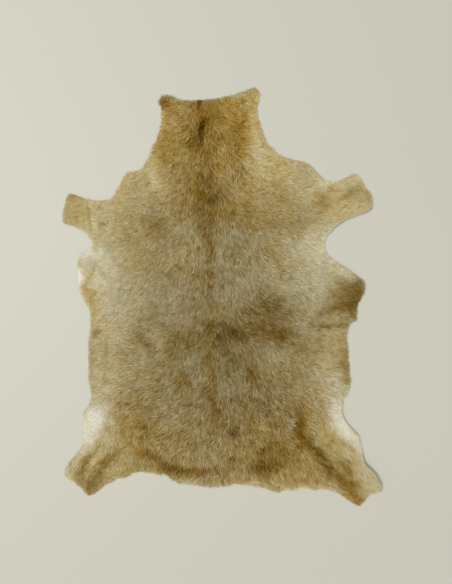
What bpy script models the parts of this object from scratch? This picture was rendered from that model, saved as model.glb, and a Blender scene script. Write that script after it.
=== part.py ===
"""A whole goatskin with its hair on, lying flat on the floor with the hair side up.

The tanned skin and the coat that lies over it are one uneven slab. It is thickest over the back, thin
along the cut rim and in the legs, and its rim is broken up into pointed locks wherever the hair runs out
past the skin. A few edges curl up off the floor, and a few creases cross the flanks and the forelegs.

Metres, +Z up. The neck is towards +Y and the animal's right side towards +X. The hide rests on Z = 0,
with the middle of its length and of its width at the origin.
"""

import math
import random

import bmesh
import bpy
import numpy as np
from mathutils import Vector, noise
from mathutils.geometry import delaunay_2d_cdt

MM = 0.001

# The rim as it shows, hair included, from the neck down to the tail, in mm.
# Columns: place, the point on the left side, the point on the right side, how long the locks are there.
RIM = (
    ("neck edge, middle", (-17, 595), (37, 596), 0),
    ("neck edge, side", (-66, 599), (100, 606), 0),
    ("neck tuft, inner", (-108, 614), (134, 616), 3),
    ("neck tuft", (-139, 617), (147, 622), 7),
    ("under the tuft", (-130, 601), (158, 600), 5),
    ("neck waist", (-128, 570), (149, 560), 6),
    ("neck side", (-135, 520), (159, 508), 8),
    ("neck root", (-150, 486), (173, 470), 9),
    ("shoulder slope", (-173, 442), (202, 431), 8),
    ("shoulder knob, inner", (-202, 406), (232, 413), 5),
    ("shoulder knob", (-245, 399), (282, 400), 5),
    ("shoulder knob, outer", (-264, 370), (305, 384), 7),
    ("foreleg root", (-290, 330), (332, 353), 6),
    ("foreleg back, middle", (-335, 320), (362, 339), 4),
    ("foreleg back, outer", (-382, 329), (394, 348), 5),
    ("foreleg upper corner", (-431, 346), (422, 359), 6),
    ("foreleg end, upper", (-444, 317), (447, 326), 7),
    ("foreleg end, lower", (-453, 283), (468, 286), 7),
    ("foreleg lower corner", (-455, 258), (465, 254), 6),
    ("foreleg front, outer", (-420, 244), (429, 242), 3),
    ("foreleg front, middle", (-386, 226), (378, 220), 3),
    ("armpit, upper", (-362, 202), (346, 193), 5),
    ("armpit", (-356, 184), (334, 160), 6),
    ("armpit, lower", (-372, 169), (346, 129), 3),
    ("brisket edge", (-401, 156), (397, 93), 3),
    ("brisket corner", (-414, 132), (447, 47), 6),
    ("brisket side", (-408, 90), (439, 14), 8),
    ("girth", (-411, 52), (424, -20), 8),
    ("girth step", (-391, 12), (419, -58), 8),
    ("girth notch", (-379, -22), (400, -73), 6),
    ("waist", (-377, -75), (397, -115), 7),
    ("belly, upper", (-387, -142), (398, -170), 8),
    ("belly", (-391, -215), (405, -215), 8),
    ("belly, lower", (-388, -262), (403, -262), 7),
    ("groin", (-386, -292), (386, -290), 6),
    ("groin, lower", (-400, -322), (382, -328), 5),
    ("thigh, upper", (-418, -345), (395, -355), 5),
    ("thigh", (-414, -385), (430, -395), 6),
    ("thigh, lower", (-417, -430), (437, -432), 6),
    ("hock", (-436, -468), (443, -470), 6),
    ("hind leg, back", (-470, -506), (473, -503), 5),
    ("hind leg, upper corner", (-489, -545), (489, -545), 6),
    ("hind leg, end", (-476, -560), (484, -557), 7),
    ("hind leg, end notch", (-440, -586), (462, -564), 8),
    ("hind leg, toe", (-401, -617), (427, -608), 9),
    ("hind leg, inner", (-366, -594), (393, -589), 9),
    ("hind leg, root", (-330, -568), (358, -566), 9),
    ("tail edge, outer", (-280, -548), (310, -560), 10),
    ("tail edge", (-245, -533), (257, -558), 10),
    ("tail edge, tuft", (-187, -527), (184, -573), 12),
    ("rump edge", (-146, -542), (138, -562), 12),
    ("rump edge, inner", (-98, -559), (85, -554), 12),
    ("tail tuft", (-37, -566), (40, -557), 14),
)
ROOT_SHARE = 0.4  # of a lock, the share that lies inside the rim as it shows
LOCK_PITCH = 17 * MM
PITCH_SWAY = 0.3  # how far the root of a lock strays from its even place, in pitches
LOCK_DROOP = 0.6  # how far a lock leans tailwards, against one part outwards
LOCK_SPREAD = (0.4, 1.35)  # shortest and longest lock, against the length in the table
TIP_SWAY = (0.3, 0.7)  # where along its root a lock's tip starts from
SHORTEST_LOCK = 3 * MM
LEAST_LEAN = 0.5  # no lock where the hair runs back from the rim, as it does along the neck

# Heights, measured up from the floor where the skin lies flat.
RIM_THICK = 4.5 * MM
LEG_THICK = 7.0 * MM
BACK_THICK = 10.5 * MM
TIP_THICK = 1.4 * MM
TIP_CLEAR = 0.4 * MM
RIM_ROLL = 26 * MM  # how far in from the rim the coat reaches its thickness on a leg
BACK_SHOULDER = 110 * MM  # and how much further in it reaches its thickness on the back

# Unevenness of the coat: the length of a lump, and its height each way.
LUMPS = ((150 * MM, 1.8 * MM), (60 * MM, 1.5 * MM))

# Edges and ripples that stand off the floor, skin and coat together.
# Columns: place, where it starts, where it ends, how far it reaches each side, its height, all in mm.
LIFTS = (
    ("right foreleg, front edge", (356, 204), (458, 250), 46, 4.0),
    ("right brisket edge", (350, 122), (440, 56), 50, 5.0),
    ("right flank ripple", (326, -50), (404, -58), 20, 5.0),
    ("right thigh edge", (386, -334), (428, -393), 46, 5.0),
    ("right hind leg, back edge", (448, -482), (486, -540), 62, 13.0),
    ("left foreleg, front edge", (-456, 252), (-398, 232), 40, 4.0),
    ("left foreleg ripple", (-350, 306), (-346, 232), 20, 3.0),
    ("left brisket edge", (-366, 172), (-404, 154), 40, 4.0),
    ("left girth ripple", (-404, 78), (-360, 108), 20, 5.0),
)

# Creases that only press into the coat, with the same columns, but for the depth that comes last.
CREASES = (
    ("right flank pleat", (304, -78), (396, -76), 10, 4.5),
    ("right flank fold", (312, -32), (364, -19), 13, 2.5),
    ("right foreleg, upper wrinkle", (372, 298), (440, 318), 11, 2.5),
    ("right foreleg, lower wrinkle", (402, 266), (458, 270), 10, 2.0),
    ("right belly wrinkle", (322, -118), (330, -150), 12, 2.0),
    ("left foreleg wrinkle", (-369, 314), (-364, 232), 11, 3.0),
    ("left girth fold", (-404, 52), (-346, 116), 12, 3.5),
    ("left belly wrinkle", (-322, -104), (-316, -172), 13, 1.8),
)

# Spacing of the mesh. A row of points just in from the rim rounds its edge over, rows of points follow
# each ripple and crease, and an even grid covers the rest.
RIM_ROW = 12 * MM
RIM_ROW_APART = 6.5 * MM
FOLD_STEP = 14 * MM
FOLD_APART = 10 * MM
GRID = 28 * MM
GRID_APART = 17 * MM
NEAR_RIM = 9 * MM  # no grid or fold point comes nearer to the rim than this

HAIR_COLOUR = (0.30, 0.21, 0.085, 1.0)


def clear_scene():
    for obj in list(bpy.data.objects):
        bpy.data.objects.remove(obj, do_unlink=True)


def hair_material():
    material = bpy.data.materials.new("goat hair")
    material.use_nodes = True
    shader = material.node_tree.nodes["Principled BSDF"]
    shader.inputs["Base Color"].default_value = HAIR_COLOUR
    shader.inputs["Roughness"].default_value = 0.85
    shader.inputs["Metallic"].default_value = 0.0
    return material


def smooth_step(share):
    share = min(max(share, 0.0), 1.0)
    return share * share * (3 - 2 * share)


def rim_places():
    """The places of the rim table in one round: down the right side, and back up the left."""
    right = [(Vector(point) * MM, lock * MM) for _, _, point, lock in RIM]
    left = [(Vector(point) * MM, lock * MM) for _, point, _, lock in RIM]
    return right + left[::-1]


def curve_point(before, start, end, after, share):
    """A point on the smooth curve from start to end, by the centripetal Catmull-Rom rule."""
    at_start = math.sqrt((start - before).length)
    at_end = at_start + math.sqrt((end - start).length)
    at_after = at_end + math.sqrt((after - end).length)
    at = at_start + (at_end - at_start) * share
    first = before.lerp(start, at / at_start)
    middle = start.lerp(end, share)
    last = end.lerp(after, (at - at_end) / (at_after - at_end))
    near = first.lerp(middle, at / at_end)
    far = middle.lerp(last, (at - at_start) / (at_after - at_start))
    return near.lerp(far, share)


def rim_roots(dice):
    """Points along the rim, about a lock's width apart, each with the length of the locks there."""
    places = rim_places()
    roots = []
    for i, (start, lock) in enumerate(places):
        before = places[i - 1][0]
        end, next_lock = places[(i + 1) % len(places)]
        after = places[(i + 2) % len(places)][0]
        steps = max(1, round((end - start).length / LOCK_PITCH))
        for step in range(steps):
            sway = dice.uniform(-PITCH_SWAY, PITCH_SWAY) if step else 0.0
            share = (step + sway) / steps
            point = curve_point(before, start, end, after, share)
            roots.append((point, lock + (next_lock - lock) * share))
    return roots


def outward(before, after):
    """The direction out of the hide, square to the way round the rim, which runs clockwise."""
    along = (after - before).normalized()
    return Vector((-along.y, along.x))


def skin_rim(roots):
    """The skin's own rim. It lies inside the rim as it shows, which the locks carry further out."""
    skin = []
    for i, (point, lock) in enumerate(roots):
        out = outward(roots[i - 1][0], roots[(i + 1) % len(roots)][0])
        skin.append(point - out * lock * ROOT_SHARE)
    return skin


def lock_tips(skin, roots, dice):
    """For each stretch of the skin's rim the tip of its lock, or None where it has no lock."""
    tips = []
    for i, (_, lock) in enumerate(roots):
        start, end = skin[i], skin[(i + 1) % len(skin)]
        lean = outward(start, end) + Vector((0.0, -LOCK_DROOP))
        reach = lock * dice.uniform(*LOCK_SPREAD)
        foot = start.lerp(end, dice.uniform(*TIP_SWAY))
        bare = reach < SHORTEST_LOCK or lean.dot(outward(start, end)) < LEAST_LEAN
        tips.append(None if bare else foot + lean.normalized() * reach)
    return tips


class Rim:
    """Measures how far a point lies inside the skin's rim."""

    def __init__(self, skin):
        self.start = np.array([tuple(point) for point in skin])
        self.along = np.roll(self.start, -1, axis=0) - self.start
        self.squared = (self.along**2).sum(axis=1)

    def depth(self, x, y):
        """The distance to the rim, or 0 outside it."""
        low = self.start[:, 1]
        high = low + self.along[:, 1]
        crosses = (low > y) != (high > y)
        rise = np.where(crosses, self.along[:, 1], 1.0)
        meets = self.start[:, 0] + self.along[:, 0] * (y - low) / rise
        if (crosses & (meets > x)).sum() % 2 == 0:
            return 0.0
        to_point = np.array((x, y)) - self.start
        share = np.clip((to_point * self.along).sum(axis=1) / self.squared, 0, 1)
        gap = to_point - self.along * share[:, None]
        return math.sqrt((gap**2).sum(axis=1).min())


def along_fold(x, y, start, end, reach):
    """How much of a fold's height a point gets: 1 on its line, 0 past its reach."""
    start = Vector(start) * MM
    line = Vector(end) * MM - start
    to_point = Vector((x, y)) - start
    share = min(max(to_point.dot(line) / line.length_squared, 0.0), 1.0)
    away = (to_point - line * share).length
    return smooth_step(1 - away / (reach * MM))


def lift(x, y):
    """How far the skin stands off the floor."""
    return max(along_fold(x, y, start, end, reach) * high * MM for _, start, end, reach, high in LIFTS)


def crease(x, y):
    return sum(along_fold(x, y, start, end, reach) * deep * MM for _, start, end, reach, deep in CREASES)


def lumps(x, y):
    rows = enumerate(LUMPS)
    return sum(noise.noise(Vector((x / size, y / size, 7.0 * i))) * high for i, (size, high) in rows)


def coat(x, y, depth):
    """The thickness of skin and coat together."""
    over_rim = smooth_step(depth / RIM_ROLL)
    over_shoulder = smooth_step((depth - RIM_ROLL) / BACK_SHOULDER)
    thick = RIM_THICK + (LEG_THICK - RIM_THICK) * over_rim + (BACK_THICK - LEG_THICK) * over_shoulder
    return thick + over_rim * (lumps(x, y) - crease(x, y))


def rim_row(skin):
    for i, point in enumerate(skin):
        yield point - outward(skin[i - 1], skin[(i + 1) % len(skin)]) * RIM_ROW


def fold_rows():
    """Three rows of points along every ripple and crease, so that the mesh follows them."""
    for _, start, end, reach, _ in LIFTS + CREASES:
        start, end = Vector(start) * MM, Vector(end) * MM
        line = end - start
        aside = Vector((-line.y, line.x)).normalized() * reach * MM / 2
        steps = max(2, round(line.length / FOLD_STEP))
        for step in range(steps + 1):
            middle = start.lerp(end, step / steps)
            yield from (middle - aside, middle, middle + aside)


def grid(rim):
    """A lattice of even triangles over the whole hide."""
    low, high = rim.start.min(axis=0), rim.start.max(axis=0)
    row_height = GRID * math.sqrt(3) / 2
    for row in range(int((high[1] - low[1]) / row_height) + 1):
        first = low[0] - 0.5 * (row % 2) * GRID
        for column in range(int((high[0] - low[0]) / GRID) + 2):
            yield Vector((first + column * GRID, low[1] + row * row_height))


def inner_points(skin, rim):
    """All points inside the rim, none of them too near to another."""
    wanted = [(point, RIM_ROW_APART) for point in rim_row(skin)]
    wanted += [(point, FOLD_APART) for point in fold_rows()]
    wanted += [(point, GRID_APART) for point in grid(rim)]
    chosen = []
    placed = np.full((1, 2), math.inf)
    for point, apart in wanted:
        if rim.depth(*point) < NEAR_RIM:
            continue
        if np.hypot(*(placed - np.array(tuple(point))).T).min() < apart:
            continue
        chosen.append(point)
        placed = np.vstack([placed, tuple(point)])
    return chosen


def goatskin_mesh(seed=11):
    dice = random.Random(seed)
    roots = rim_roots(dice)
    skin = skin_rim(roots)
    outline, is_root = [], []
    for root, tip in zip(skin, lock_tips(skin, roots, dice)):
        outline += [root] if tip is None else [root, tip]
        is_root += [True] if tip is None else [True, False]
    rim = Rim(skin)
    numbers = [i for i, found in enumerate(is_root) if found]
    root_line = list(zip(numbers, numbers[1:] + numbers[:1]))
    points = outline + inner_points(skin, rim)
    around = [list(range(len(outline)))]
    flat, _, triangles, *_ = delaunay_2d_cdt(points, root_line, around, 1, 1e-6)
    return raised_mesh(flat, triangles, is_root, rim)


def raised_mesh(flat, triangles, is_root, rim):
    """The plan of the hide laid on the floor as its underside, then extruded to the top of the coat."""
    hide = bmesh.new()
    thick = hide.verts.layers.float.new("thickness")
    for i, (x, y) in enumerate(flat):
        tip = i < len(is_root) and not is_root[i]
        corner = hide.verts.new((x, y, lift(x, y) + (TIP_CLEAR if tip else 0.0)))
        corner[thick] = TIP_THICK if tip else coat(x, y, rim.depth(x, y))
    hide.verts.ensure_lookup_table()
    for triangle in triangles:
        hide.faces.new([hide.verts[i] for i in triangle])
    raised = bmesh.ops.extrude_face_region(hide, geom=list(hide.faces))["geom"]
    for corner in raised:
        if isinstance(corner, bmesh.types.BMVert):
            corner.co.z += corner[thick]
    bmesh.ops.recalc_face_normals(hide, faces=list(hide.faces))
    mesh = bpy.data.meshes.new("goatskin")
    hide.to_mesh(mesh)
    hide.free()
    mesh.shade_smooth()
    mesh.set_sharp_from_angle(angle=math.radians(50))
    return mesh


def build():
    clear_scene()
    collection = bpy.data.collections.new("Goatskin")
    bpy.context.scene.collection.children.link(collection)
    mesh = goatskin_mesh()
    mesh.materials.append(hair_material())
    collection.objects.link(bpy.data.objects.new("goatskin", mesh))


build()
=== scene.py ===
import math

import bmesh
import bpy
import numpy as np
from mathutils import Matrix, Vector
from mathutils.bvhtree import BVHTree
from mathutils.kdtree import KDTree


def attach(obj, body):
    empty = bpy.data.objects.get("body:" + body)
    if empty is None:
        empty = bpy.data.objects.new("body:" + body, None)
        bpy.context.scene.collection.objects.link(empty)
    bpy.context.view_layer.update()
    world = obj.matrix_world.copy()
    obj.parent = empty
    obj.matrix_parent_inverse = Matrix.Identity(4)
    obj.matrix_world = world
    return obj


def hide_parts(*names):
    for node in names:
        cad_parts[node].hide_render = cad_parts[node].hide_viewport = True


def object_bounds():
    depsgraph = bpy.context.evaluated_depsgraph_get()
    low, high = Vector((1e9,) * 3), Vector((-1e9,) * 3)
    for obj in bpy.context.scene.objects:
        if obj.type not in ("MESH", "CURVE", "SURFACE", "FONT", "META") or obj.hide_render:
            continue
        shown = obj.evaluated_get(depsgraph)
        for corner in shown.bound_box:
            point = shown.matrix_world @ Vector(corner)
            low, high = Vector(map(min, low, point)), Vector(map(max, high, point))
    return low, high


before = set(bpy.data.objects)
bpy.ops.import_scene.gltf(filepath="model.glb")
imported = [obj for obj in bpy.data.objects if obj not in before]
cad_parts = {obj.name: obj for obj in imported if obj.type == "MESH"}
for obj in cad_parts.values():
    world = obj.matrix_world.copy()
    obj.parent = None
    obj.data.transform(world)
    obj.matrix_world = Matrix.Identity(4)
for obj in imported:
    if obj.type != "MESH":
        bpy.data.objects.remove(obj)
cad_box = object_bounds()


# The tanned skin
# One goatskin about 1.5 mm thick, tanned with its hair on and cut to its own outline of neck, legs and tail
# edge. Its underside is the flesh side, buffed to a pale nap, and the cut edge shows wherever hair is short.
MM = 0.001
SKIN_THICK = 1.5 * MM
FLESH_PALE = "e6dcc6"
FLESH_WARM = "cdb893"
FLESH_BLOTCH = 70 * MM
NAP_GRAIN = 0.9 * MM
NAP_DEPTH = 0.3 * MM


def linear(colour):
    """The linear RGBA of an sRGB hex colour."""
    parts = [int(colour[i : i + 2], 16) / 255 for i in (0, 2, 4)]
    return tuple(c / 12.92 if c <= 0.04045 else ((c + 0.055) / 1.055) ** 2.4 for c in parts) + (1.0,)


def add_node(tree, kind, settings=None, **links):
    """Adds a node. Each link is an input's name or number, and the socket or the value that it takes."""
    node = tree.nodes.new(kind)
    for name, value in (settings or {}).items():
        setattr(node, name, value)
    for key, value in links.items():
        socket = node.inputs[int(key[1:]) if key[0] == "n" and key[1:].isdigit() else key.replace("_", " ")]
        if isinstance(value, bpy.types.NodeSocket):
            tree.links.new(value, socket)
        else:
            socket.default_value = value
    return node


def new_material(name):
    """A new material, with its node tree and its shader."""
    material = bpy.data.materials.new(name)
    material.use_nodes = True
    tree = material.node_tree
    return material, tree, tree.nodes["Principled BSDF"]


def set_ramp(node, stops):
    """Gives a colour ramp its stops, a list of place and hex colour."""
    points = node.color_ramp.elements
    while len(points) < len(stops):
        points.new(0.5)
    for point, (place, colour) in zip(points, stops):
        point.position = place
        point.color = linear(colour)


WELD = 0.01 * MM
FACES_UP = 0.5  # a face whose normal rises by more than this belongs to an upper side
RIM_SMOOTHING = 0.2

solid = bmesh.new()
solid.from_mesh(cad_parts["goatskin"].data)
bmesh.ops.remove_doubles(solid, verts=solid.verts, dist=WELD)
solid.normal_update()
slab = BVHTree.FromBMesh(solid)

# The plan of the skin is the upper side of the solid without the hair locks at its rim: a lock's tip is
# the one kind of point that a single face meets.
plan = solid.copy()
bmesh.ops.delete(plan, geom=[f for f in plan.faces if f.normal.z < FACES_UP], context="FACES")
tips = [v for v in plan.verts if len(v.link_faces) == 1]
tip_places = [v.co.xy.to_3d() for v in tips]
bmesh.ops.delete(plan, geom=tips, context="VERTS")
bmesh.ops.subdivide_edges(plan, edges=plan.edges[:], cuts=1, use_grid_fill=True)
bmesh.ops.triangulate(plan, faces=plan.faces[:])
rim_verts = [v for v in plan.verts if v.is_boundary]
bmesh.ops.smooth_vert(
    plan, verts=rim_verts, factor=RIM_SMOOTHING, use_axis_x=True, use_axis_y=True, use_axis_z=True
)

# Heights over the floor on an even grid, read from the solid: the skin's underside, the top of the coat,
# and how far in from the rim a place lies, which is below 0 outside.
CELL = 4 * MM
MARGIN = 48 * MM  # round the hide, so that hair past the rim is still over the grid
BEFORE_LAST = 1.001  # grid steps from the end, so a read stops just short of the last grid point
RIM_STEP = 2 * MM
JUST_INSIDE = 0.35  # the share of the way from the rim to the middle of its face
BEYOND = 1  # metres, a height that is well clear of the hide
UP, STRAIGHT_DOWN = Vector((0, 0, 1)), Vector((0, 0, -1))
EVENED = 3  # how many times the heights are evened out
low, high = cad_box
grid_x = np.arange(low[0] - MARGIN, high[0] + MARGIN, CELL)
grid_y = np.arange(low[1] - MARGIN, high[1] + MARGIN, CELL)


def rim_samples():
    """Points along the skin's rim, each with a place just inside it."""
    found = []
    for edge in plan.edges:
        if not edge.is_boundary:
            continue
        start, end = (v.co.copy() for v in edge.verts)
        inner = edge.link_faces[0].calc_center_median()
        parts = 1 + (end - start).length // RIM_STEP
        for share in np.arange(0.5, parts) / parts:
            point = start.lerp(end, share)
            found.append((point.xy.to_3d(), point.lerp(inner, JUST_INSIDE)))
    return found


def solid_heights(x, y):
    """The heights of the solid's underside and of its top, or None beside it."""
    under = slab.ray_cast(Vector((x, y, -BEYOND)), UP)[0]
    over = slab.ray_cast(Vector((x, y, BEYOND)), STRAIGHT_DOWN)[0]
    return None if under is None or over is None else (under.z, over.z)


plan_tree = BVHTree.FromBMesh(plan)
rim = rim_samples()
rim_tree = KDTree(len(rim))
for i, (point, _) in enumerate(rim):
    rim_tree.insert(point, i)
rim_tree.balance()
rim_heights = [solid_heights(inner.x, inner.y) for _, inner in rim]

fields = np.zeros((3, len(grid_y), len(grid_x)))
for row, y in enumerate(grid_y):
    for column, x in enumerate(grid_x):
        _, nearest, away = rim_tree.find((x, y, 0))
        inside = plan_tree.ray_cast(Vector((x, y, BEYOND)), STRAIGHT_DOWN)[0] is not None
        heights = solid_heights(x, y) if inside else None
        if heights is None:
            heights = rim_heights[nearest]
        fields[:, row, column] = heights[0], heights[1], away if inside else -away


def blurred(field, times):
    """Evens a field out over its neighbours, which takes the facets of the solid off."""
    for _ in range(times):
        for axis in (0, 1):
            padded = np.concatenate([field.take([0], axis), field, field.take([-1], axis)], axis)
            count = field.shape[axis]
            before, after = padded.take(range(count), axis), padded.take(range(2, count + 2), axis)
            field = (before + 2 * field + after) / 4
    return field


under_field = blurred(fields[0], EVENED)
thick_field = blurred(fields[1] - fields[0], EVENED)
depth_field = fields[2]


def read_field(field, x, y):
    """The value of a field at each place, between its grid points."""
    across = np.clip((x - grid_x[0]) / CELL, 0, len(grid_x) - BEFORE_LAST)
    up = np.clip((y - grid_y[0]) / CELL, 0, len(grid_y) - BEFORE_LAST)
    column, row = across.astype(int), up.astype(int)
    across, up = across - column, up - row
    near = field[row, column] * (1 - across) + field[row, column + 1] * across
    far = field[row + 1, column] * (1 - across) + field[row + 1, column + 1] * across
    return near * (1 - up) + far * up


MAP_SPARE = 1.05  # the width of the bake map, as a share of what the two sides take up
MAP_TOP_AT, MAP_UNDERSIDE_AT = 0.25, 0.75
MAP_MIDDLE = 0.5


def lay_on_map(body):
    """Unfolds a sheet on its bake map: its top at the left, its underside at the right, and its thin walls
    as a strip round the underside."""
    uv = body.loops.layers.uv.new("OFBake")
    size = max((high[0] - low[0]) * 2, high[1] - low[1]) * MAP_SPARE
    for face in body.faces:
        column = MAP_TOP_AT if face.normal.z > FACES_UP else MAP_UNDERSIDE_AT
        wall = abs(face.normal.z) <= FACES_UP
        floor_z = min(v.co.z for v in face.verts)
        for loop in face.loops:
            place = loop.vert.co.xy
            if wall:
                place = place + face.normal.xy.normalized() * (loop.vert.co.z - floor_z)
            loop[uv].uv = (column + place.x / size, MAP_MIDDLE + place.y / size)


def sheet_body(base, underside, top):
    """Closes a plan into a sheet, with the heights of its two sides as functions of its places."""
    body = base.copy()
    flat = np.array([v.co[:] for v in body.verts])
    lower = underside(flat[:, 0], flat[:, 1])
    rise = body.verts.layers.float.new("rise")
    for v, z, up in zip(body.verts, lower, top(flat[:, 0], flat[:, 1]) - lower):
        v.co.z = z
        v[rise] = up
    raised = bmesh.ops.extrude_face_region(body, geom=body.faces[:])["geom"]
    for v in raised:
        if isinstance(v, bmesh.types.BMVert):
            v.co.z += v[rise]
    bmesh.ops.recalc_face_normals(body, faces=body.faces[:])
    return body


def new_piece(mesh, material):
    """Makes a finished mesh a piece of the hide, under the mesh's own name."""
    mesh.materials.append(material)
    piece = bpy.data.objects.new(mesh.name, mesh)
    bpy.context.scene.collection.objects.link(piece)
    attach(piece, "root")
    return piece


SHARP_FROM = math.radians(45)


def new_sheet(name, body, material):
    """Makes a closed body a smooth piece with a sharp rim."""
    mesh = bpy.data.meshes.new(name)
    body.to_mesh(mesh)
    body.free()
    mesh.shade_smooth()
    mesh.set_sharp_from_angle(angle=SHARP_FROM)
    return new_piece(mesh, material)


def suede_material():
    """Chrome-tanned goat leather, flesh side out: pale, matt, softly blotched, with a short buffed nap."""
    material, tree, shader = new_material("tanned goatskin flesh side")
    place = add_node(tree, "ShaderNodeTexCoord").outputs["Object"]
    blotch = add_node(tree, "ShaderNodeTexNoise", Vector=place, Scale=1 / FLESH_BLOTCH, Detail=5.0)
    ramp = add_node(tree, "ShaderNodeValToRGB", Fac=blotch.outputs["Fac"])
    set_ramp(ramp, [(0.35, FLESH_WARM), (0.62, FLESH_PALE)])
    nap = add_node(tree, "ShaderNodeTexNoise", Vector=place, Scale=1 / NAP_GRAIN, Detail=3.0)
    bump = add_node(tree, "ShaderNodeBump", Height=nap.outputs["Fac"], Strength=0.35, Distance=NAP_DEPTH)
    tree.links.new(ramp.outputs["Color"], shader.inputs["Base Color"])
    tree.links.new(bump.outputs["Normal"], shader.inputs["Normal"])
    shader.inputs["Roughness"].default_value = 0.9
    shader.inputs["IOR"].default_value = 1.5
    shader.inputs["Sheen Weight"].default_value = 0.15
    return material


def skin_underside(x, y):
    return read_field(under_field, x, y)


def skin_top(x, y):
    return read_field(under_field, x, y) + SKIN_THICK


skin_body = sheet_body(plan, skin_underside, skin_top)
skin_area = sum(f.calc_area() for f in plan.faces)
lay_on_map(skin_body)
skin = new_sheet("skin", skin_body, suede_material())
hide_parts("goatskin")


# The down
# The short woolly undercoat stands on the skin under the guard hair. It is a dense felt-like mat that is seen
# only in the gaps between locks, and it is painted darker than the hair over it, as shade in those gaps.
DOWN_SHARE = 0.62  # its height, as a share of the coat's
DOWN_AT_RIM = 0.45  # what is left of that height at the rim
DOWN_RIM_BAND = 10 * MM
DOWN_LEAST = 1.1  # its least height over the flesh side, in thicknesses of the skin
DOWN_INSET = 0.8 * MM  # how far its rim stands back from the skin's
DOWN_TONES = ((0.0, "1c1105"), (0.35, "5c3d0c"), (0.6, "9c7c3c"), (0.85, "c8b484"), (1.0, "e0d6b4"))
# painted shade: how much darker the down is than the coat over it, for the shade in the gaps between locks
DOWN_PAINTED_SHADE = 0.06
DOWN_RIM_PALER, DOWN_PALE_BAND = 0.16, 8 * MM
DOWN_TUFT = 5 * MM
DOWN_TUFT_DEPTH = 1.0 * MM
DOWN_UNEVEN = 0.2  # how far its tone differs from tuft to tuft

# The colours of the whole coat are those of a wild-coloured goat: golden brown at the neck, sandy shoulders
# and legs, a greyer back with a dark saddle and spine, and white on the thighs and behind the elbows. Tone
# runs from 0, black brown, to 1, white, and warmth from 0, greyish, to 1, golden.
# Columns: place, x and y in mm, tone, warmth.
COAT = (
    ("nape", 0, 590, 0.47, 0.9),
    ("neck left", -80, 550, 0.52, 1.1),
    ("neck right", 70, 545, 0.48, 1.3),
    ("neck left edge", -125, 560, 0.62, 0.7),
    ("neck right edge", 140, 560, 0.57, 0.9),
    ("neck root left", -120, 470, 0.51, 1.1),
    ("neck root right", 95, 480, 0.47, 1.2),
    ("throat right", 150, 450, 0.62, 0.7),
    ("crest", 0, 440, 0.55, 1.3),
    ("withers left", -90, 380, 0.52, 0.8),
    ("withers right", 80, 380, 0.55, 0.7),
    ("shoulder slope left", -180, 415, 0.63, 0.5),
    ("shoulder slope right", 190, 400, 0.62, 0.7),
    ("shoulder left", -230, 350, 0.62, 0.6),
    ("shoulder right", 280, 350, 0.62, 0.4),
    ("shoulder blade left", -180, 290, 0.60, 0.4),
    ("shoulder blade right", 180, 300, 0.54, 0.5),
    ("behind shoulder left", -220, 220, 0.56, 0.5),
    ("behind shoulder right", 240, 240, 0.54, 0.3),
    ("foreleg left", -430, 290, 0.56, 0.5),
    ("foreleg root left", -340, 280, 0.66, 0.5),
    ("foreleg right", 430, 300, 0.64, 0.4),
    ("foreleg root right", 360, 290, 0.60, 0.5),
    ("armpit left", -330, 180, 0.64, 0.4),
    ("armpit right", 310, 160, 0.70, 0.1),
    ("brisket left", -380, 130, 0.73, 0.1),
    ("brisket right", 340, 110, 0.65, 0.2),
    ("ribs left", -230, 120, 0.60, 0.5),
    ("ribs left, outer", -305, 100, 0.76, 0.3),
    ("ribs right", 250, 110, 0.58, 0.1),
    ("back left, front", -90, 150, 0.58, 0.4),
    ("back right, front", 90, 150, 0.53, 0.2),
    ("side left", -310, 20, 0.68, 0.3),
    ("side left, rear", -290, -70, 0.65, 0.4),
    ("side right", 280, 0, 0.58, 0.0),
    ("girth right", 400, 10, 0.50, 0.3),
    ("back left", -120, 20, 0.56, 0.1),
    ("back right", 110, 30, 0.57, 0.0),
    ("belly left", -360, -130, 0.58, 0.3),
    ("belly right", 370, -120, 0.55, 0.2),
    ("loin left", -220, -120, 0.53, 0.3),
    ("loin right", 230, -140, 0.50, 0.3),
    ("loin left, inner", -70, -150, 0.48, 0.3),
    ("loin right, inner", 80, -170, 0.46, 0.2),
    ("flank left", -350, -240, 0.63, 0.4),
    ("flank right", 360, -230, 0.59, 0.4),
    ("croup left", -120, -300, 0.51, 0.3),
    ("croup right", 130, -290, 0.46, 0.3),
    ("rump left", -140, -420, 0.52, 0.6),
    ("rump right", 150, -400, 0.52, 0.7),
    ("thigh left", -300, -400, 0.67, 0.7),
    ("thigh right", 320, -390, 0.57, 0.6),
    ("hind leg left", -430, -520, 0.60, 0.5),
    ("hind leg right", 430, -510, 0.64, 0.4),
    ("tail edge left", -240, -500, 0.56, 0.7),
    ("tail edge right", 240, -500, 0.52, 0.7),
    ("tail", 0, -520, 0.54, 0.5),
)
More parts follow.
